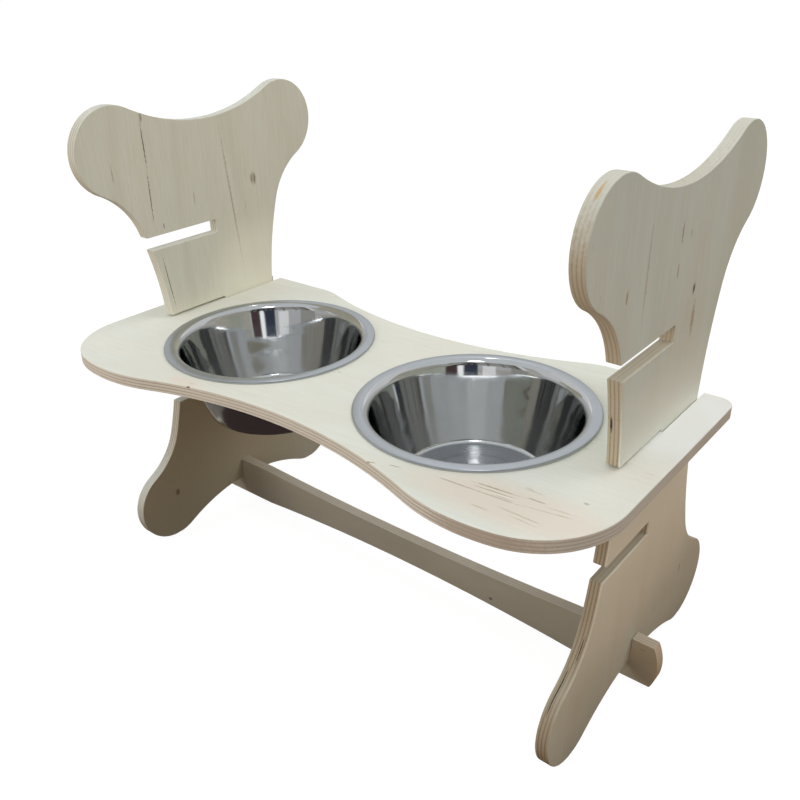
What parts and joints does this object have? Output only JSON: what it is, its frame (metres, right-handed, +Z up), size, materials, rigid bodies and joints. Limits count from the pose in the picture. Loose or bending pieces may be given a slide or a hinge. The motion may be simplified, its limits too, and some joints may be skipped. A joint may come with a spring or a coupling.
{
  "type": "dog feeder stand",
  "caption": "Raised pet feeder: bone-shaped plywood side panels with height slots, a slot-in shelf holding lift-out steel bowls, and a low stretcher.",
  "frame": {"origin": "on the floor, in the middle of the stand's footprint", "axes": "+X along the stand from left to right, +Y from the front, where the shelf reaches out, to the back, +Z up"},
  "size_m": [0.61, 0.3604, 0.5],
  "materials": {
    "panel_plywood": "bare sanded plywood",
    "stretcher_plywood": "bare sanded plywood",
    "shelf_plywood": "bare sanded plywood",
    "bowl_steel": "satin rim, polished inside"
  },
  "bodies": {
    "frame": {"left_side_panel": "panel_plywood", "right_side_panel": "panel_plywood", "stretcher": "stretcher_plywood"},
    "shelf": {"shelf": "shelf_plywood"},
    "left_bowl": {"left_bowl": "bowl_steel"},
    "right_bowl": {"right_bowl": "bowl_steel"}
  },
  "joints": [
    {"name": "shelf_slide", "type": "slide", "parent": "frame", "child": "shelf", "axis": [0, -1, 0], "range_m": [0, 0.09]},
    {"name": "left_bowl_lift", "type": "slide", "parent": "shelf", "child": "left_bowl", "axis": [0, 0, 1], "range_m": [0, 0.08]},
    {"name": "right_bowl_lift", "type": "slide", "parent": "shelf", "child": "right_bowl", "axis": [0, 0, 1], "range_m": [0, 0.08]}
  ]
}
